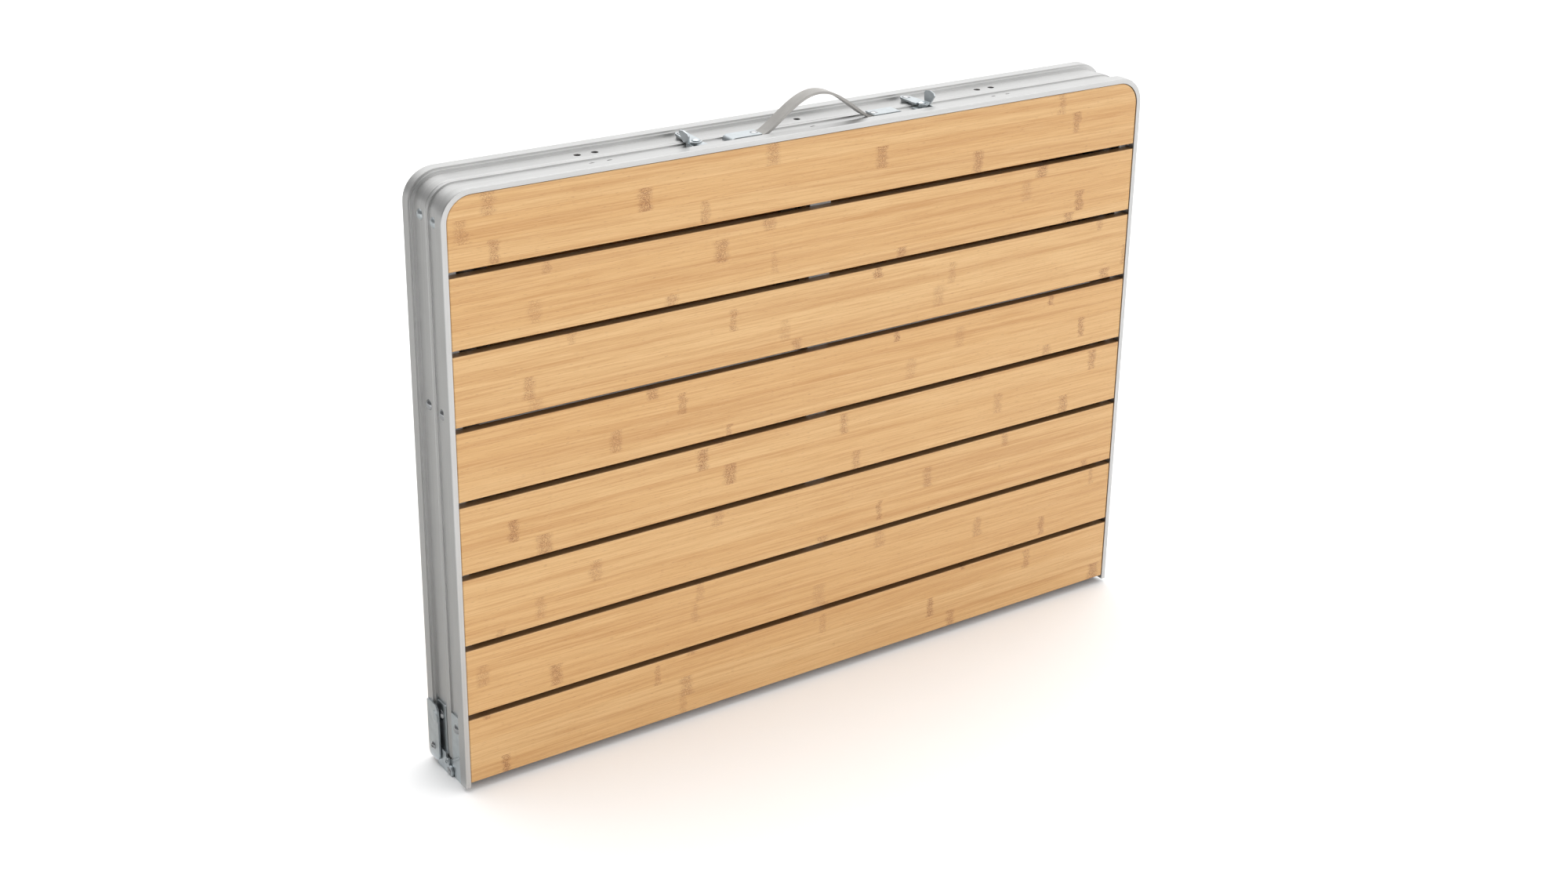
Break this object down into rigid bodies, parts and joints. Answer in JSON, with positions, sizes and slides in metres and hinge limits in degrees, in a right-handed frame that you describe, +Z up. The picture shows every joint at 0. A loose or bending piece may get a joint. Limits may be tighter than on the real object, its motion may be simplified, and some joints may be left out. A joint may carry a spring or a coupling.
{
  "type": "folding table",
  "caption": "Slatted folding table in an aluminium frame, folding in half like a case, with telescopic legs, latches and a carrying strap.",
  "frame": {"origin": "centre of the folded table's footprint, on the surface it stands on", "axes": "+X along the fold, +Y from the front half to the rear half, +Z up towards the handle"},
  "size_m": [0.808, 0.078, 0.6319],
  "materials": {
    "bamboo": "satin lacquer",
    "frame_aluminium": "satin anodised",
    "bar_aluminium": "mill finish",
    "leg_aluminium": "satin anodised",
    "zinc_steel": "bright zinc plate",
    "rivet_steel": "polished",
    "strap_plastic": "matt",
    "collar_plastic": "matt",
    "rubber": "matt"
  },
  "bodies": {
    "front_half": {"front_frame": "frame_aluminium", "front_centre_bar": "bar_aluminium", "front_end_rail": "bar_aluminium", "front_slat_screws": "zinc_steel", "front_leg_axle": "zinc_steel", "front_rivets": "rivet_steel", "front_slat_1": "bamboo", "front_slat_2": "bamboo", "front_slat_3": "bamboo", "front_slat_4": "bamboo", "front_slat_5": "bamboo", "front_slat_6": "bamboo", "front_slat_7": "bamboo", "front_slat_8": "bamboo", "front_hinge_leaf_left": "zinc_steel", "front_hinge_leaf_right": "zinc_steel", "hinge_pins": "rivet_steel", "handle_strap": "strap_plastic", "handle_clips": "zinc_steel", "latch_catches": "zinc_steel"},
    "rear_half": {"rear_frame": "frame_aluminium", "rear_centre_bar": "bar_aluminium", "rear_end_rail": "bar_aluminium", "rear_slat_screws": "zinc_steel", "rear_leg_axle": "zinc_steel", "rear_rivets": "rivet_steel", "rear_slat_1": "bamboo", "rear_slat_2": "bamboo", "rear_slat_3": "bamboo", "rear_slat_4": "bamboo", "rear_slat_5": "bamboo", "rear_slat_6": "bamboo", "rear_slat_7": "bamboo", "rear_slat_8": "bamboo", "rear_hinge_leaf_left": "zinc_steel", "rear_hinge_leaf_right": "zinc_steel", "hinge_strips": "zinc_steel", "latch_pivots": "rivet_steel"},
    "front_legs": {"front_outer_legs": "leg_aluminium", "front_leg_cross_tube": "leg_aluminium"},
    "front_upper_braces": {"front_brace_upper": "zinc_steel"},
    "front_lower_braces": {"front_brace_lower": "zinc_steel"},
    "front_left_leg_end": {"front_left_inner_leg": "leg_aluminium", "front_left_foot": "rubber"},
    "front_left_collar": {"front_left_lock_collar": "collar_plastic"},
    "front_right_leg_end": {"front_right_inner_leg": "leg_aluminium", "front_right_foot": "rubber"},
    "front_right_collar": {"front_right_lock_collar": "collar_plastic"},
    "rear_legs": {"rear_outer_legs": "leg_aluminium", "rear_leg_cross_tube": "leg_aluminium"},
    "rear_upper_braces": {"rear_brace_upper": "zinc_steel"},
    "rear_lower_braces": {"rear_brace_lower": "zinc_steel"},
    "rear_left_leg_end": {"rear_left_inner_leg": "leg_aluminium", "rear_left_foot": "rubber"},
    "rear_left_collar": {"rear_left_lock_collar": "collar_plastic"},
    "rear_right_leg_end": {"rear_right_inner_leg": "leg_aluminium", "rear_right_foot": "rubber"},
    "rear_right_collar": {"rear_right_lock_collar": "collar_plastic"},
    "latch_left": {"latch_hook_left": "zinc_steel"},
    "latch_right": {"latch_hook_right": "zinc_steel"}
  },
  "joints": [
    {"name": "fold", "type": "hinge", "parent": "front_half", "child": "rear_half", "pos_m": [0, 0, 0.0042], "axis": [-1, 0, 0], "range_deg": [0, 180]},
    {"name": "front_legs_swing", "type": "hinge", "parent": "front_half", "child": "front_legs", "pos_m": [0, -0.0135, 0.565], "axis": [1, 0, 0], "range_deg": [0, 90]},
    {"name": "front_upper_brace_turn", "type": "hinge", "parent": "front_half", "child": "front_upper_braces", "pos_m": [0, -0.0135, 0.383], "axis": [-1, 0, 0], "range_deg": [0, 41.33]},
    {"name": "front_lower_brace_turn", "type": "hinge", "parent": "front_legs", "child": "front_lower_braces", "pos_m": [0, -0.0135, 0.405], "axis": [1, 0, 0], "range_deg": [0, 48.69]},
    {"name": "front_left_leg_extend", "type": "slide", "parent": "front_legs", "child": "front_left_leg_end", "axis": [0, 0, -1], "range_m": [0, 0.25]},
    {"name": "front_left_collar_twist", "type": "hinge", "parent": "front_legs", "child": "front_left_collar", "pos_m": [-0.371, -0.0135, 0.225], "axis": [0, 0, 1], "range_deg": [0, 45]},
    {"name": "front_right_leg_extend", "type": "slide", "parent": "front_legs", "child": "front_right_leg_end", "axis": [0, 0, -1], "range_m": [0, 0.25]},
    {"name": "front_right_collar_twist", "type": "hinge", "parent": "front_legs", "child": "front_right_collar", "pos_m": [0.371, -0.0135, 0.225], "axis": [0, 0, 1], "range_deg": [0, 45]},
    {"name": "rear_legs_swing", "type": "hinge", "parent": "rear_half", "child": "rear_legs", "pos_m": [0, 0.0135, 0.565], "axis": [-1, 0, 0], "range_deg": [0, 90]},
    {"name": "rear_upper_brace_turn", "type": "hinge", "parent": "rear_half", "child": "rear_upper_braces", "pos_m": [0, 0.0135, 0.383], "axis": [1, 0, 0], "range_deg": [0, 41.33]},
    {"name": "rear_lower_brace_turn", "type": "hinge", "parent": "rear_legs", "child": "rear_lower_braces", "pos_m": [0, 0.0135, 0.405], "axis": [-1, 0, 0], "range_deg": [0, 48.69]},
    {"name": "rear_left_leg_extend", "type": "slide", "parent": "rear_legs", "child": "rear_left_leg_end", "axis": [0, 0, -1], "range_m": [0, 0.25]},
    {"name": "rear_left_collar_twist", "type": "hinge", "parent": "rear_legs", "child": "rear_left_collar", "pos_m": [-0.345, 0.0135, 0.225], "axis": [0, 0, 1], "range_deg": [0, 45]},
    {"name": "rear_right_leg_extend", "type": "slide", "parent": "rear_legs", "child": "rear_right_leg_end", "axis": [0, 0, -1], "range_m": [0, 0.25]},
    {"name": "rear_right_collar_twist", "type": "hinge", "parent": "rear_legs", "child": "rear_right_collar", "pos_m": [0.345, 0.0135, 0.225], "axis": [0, 0, 1], "range_deg": [0, 45]},
    {"name": "latch_left_swing", "type": "hinge", "parent": "rear_half", "child": "latch_left", "pos_m": [-0.13, 0.0135, 0.598], "axis": [0, 0, -1], "range_deg": [0, 90]},
    {"name": "latch_right_swing", "type": "hinge", "parent": "rear_half", "child": "latch_right", "pos_m": [0.13, 0.0135, 0.598], "axis": [0, 0, 1], "range_deg": [0, 90]}
  ],
  "couplings": [
    {"joint": "front_legs_swing", "follows": "fold", "ratio": 0.5},
    {"joint": "front_upper_brace_turn", "follows": "fold", "ratio": 0.22955},
    {"joint": "front_lower_brace_turn", "follows": "fold", "ratio": 0.27045},
    {"joint": "rear_legs_swing", "follows": "fold", "ratio": 0.5},
    {"joint": "rear_upper_brace_turn", "follows": "fold", "ratio": 0.22955},
    {"joint": "rear_lower_brace_turn", "follows": "fold", "ratio": 0.27045}
  ]
}
